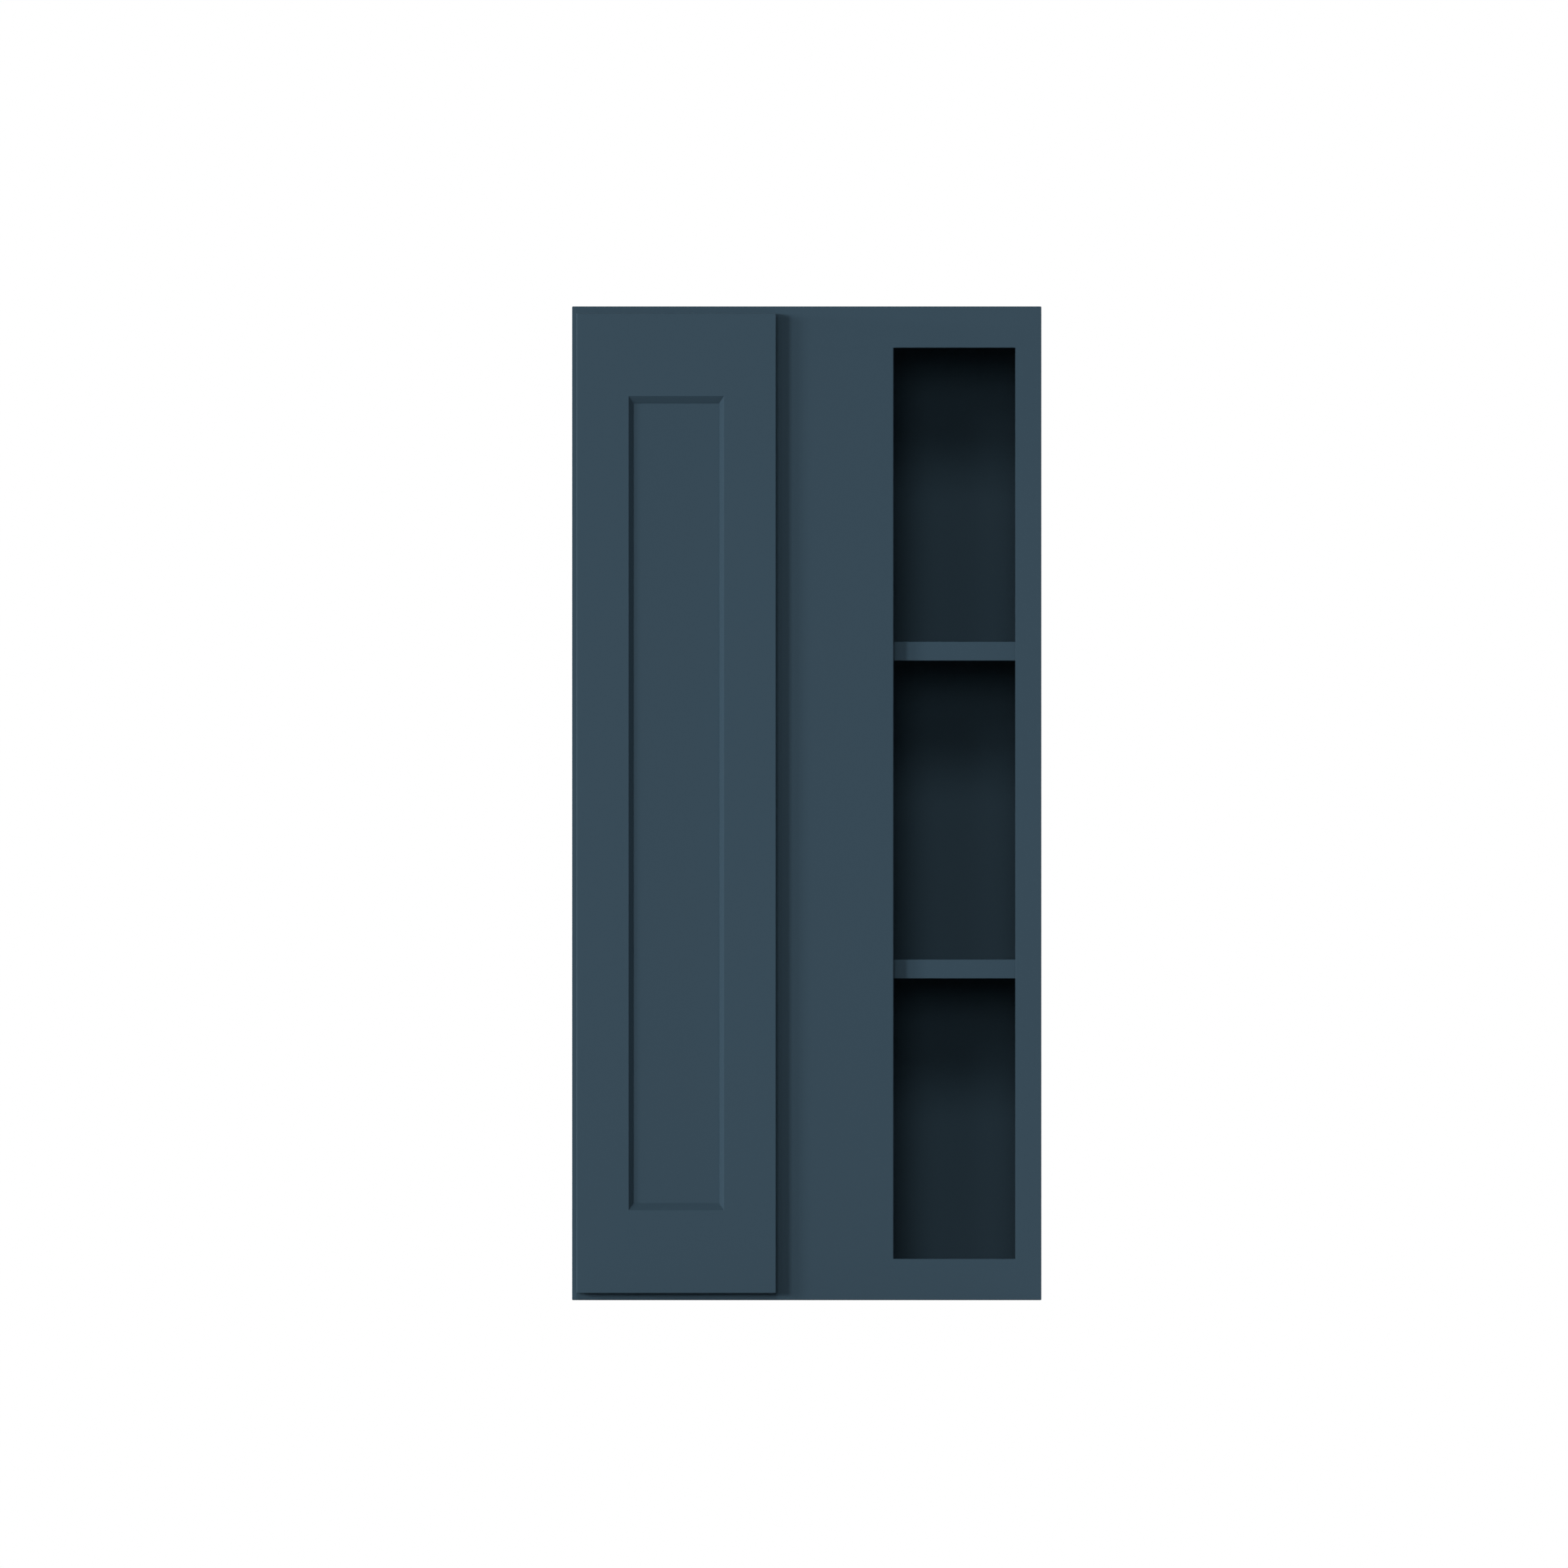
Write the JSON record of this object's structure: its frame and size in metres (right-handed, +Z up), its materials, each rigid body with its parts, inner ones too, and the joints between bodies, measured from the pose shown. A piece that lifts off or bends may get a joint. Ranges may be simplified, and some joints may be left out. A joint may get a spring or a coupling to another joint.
{
  "type": "corner wall cabinet",
  "caption": "Blind-corner wall cabinet with a face frame, a left-hinged recessed-panel door, a wide middle stile and an open bay on the right with loose shelves behind.",
  "frame": {"origin": "centre of the upper hanging rail's back face, on the wall plane and on the middle of the width", "axes": "+Z up, +Y into the wall, -Y out of the front, +X to the right of someone facing the front"},
  "size_m": [0.4318, 0.3264, 0.9144],
  "materials": {
    "paint": "satin slate-blue paint on hardwood and plywood",
    "raw_wood": "bare sanded hardwood, hidden against the wall",
    "nickel": "nickel-plated steel",
    "bumper": "soft clear polymer"
  },
  "bodies": {
    "cabinet": {"left_stile": "paint", "right_stile": "paint", "centre_stile": "paint", "top_rail": "paint", "bottom_rail": "paint", "left_end_panel": "paint", "right_end_panel": "paint", "top_panel": "paint", "bottom_panel": "paint", "back_panel": "paint", "upper_hanging_rail": "raw_wood", "lower_hanging_rail": "raw_wood", "upper_shelf_pin_left_front": "nickel", "upper_shelf_pin_left_rear": "nickel", "upper_shelf_pin_right_front": "nickel", "upper_shelf_pin_right_rear": "nickel", "lower_shelf_pin_left_front": "nickel", "lower_shelf_pin_left_rear": "nickel", "lower_shelf_pin_right_front": "nickel", "lower_shelf_pin_right_rear": "nickel", "upper_hinge_arm": "nickel", "lower_hinge_arm": "nickel", "upper_hinge_plate_screw_top": "nickel", "upper_hinge_plate_screw_bottom": "nickel", "lower_hinge_plate_screw_top": "nickel", "lower_hinge_plate_screw_bottom": "nickel"},
    "door": {"door_hinge_stile": "paint", "door_free_stile": "paint", "door_top_rail": "paint", "door_bottom_rail": "paint", "door_panel": "paint", "upper_door_bumper": "bumper", "lower_door_bumper": "bumper", "upper_hinge_cup": "nickel", "lower_hinge_cup": "nickel", "upper_hinge_pin": "nickel", "lower_hinge_pin": "nickel", "upper_hinge_cup_screw_top": "nickel", "upper_hinge_cup_screw_bottom": "nickel", "lower_hinge_cup_screw_top": "nickel", "lower_hinge_cup_screw_bottom": "nickel"},
    "upper_shelf": {"upper_shelf": "paint"},
    "lower_shelf": {"lower_shelf": "paint"}
  },
  "joints": [
    {"name": "door_hinge", "type": "hinge", "parent": "cabinet", "child": "door", "pos_m": [-0.2039, -0.3173, -0.381], "axis": [0, 0, -1], "range_deg": [0, 105]},
    {"name": "upper_shelf_lift", "type": "slide", "parent": "cabinet", "child": "upper_shelf", "axis": [0, 0, 1], "range_m": [0, 0.03]},
    {"name": "lower_shelf_lift", "type": "slide", "parent": "cabinet", "child": "lower_shelf", "axis": [0, 0, 1], "range_m": [0, 0.03]}
  ]
}
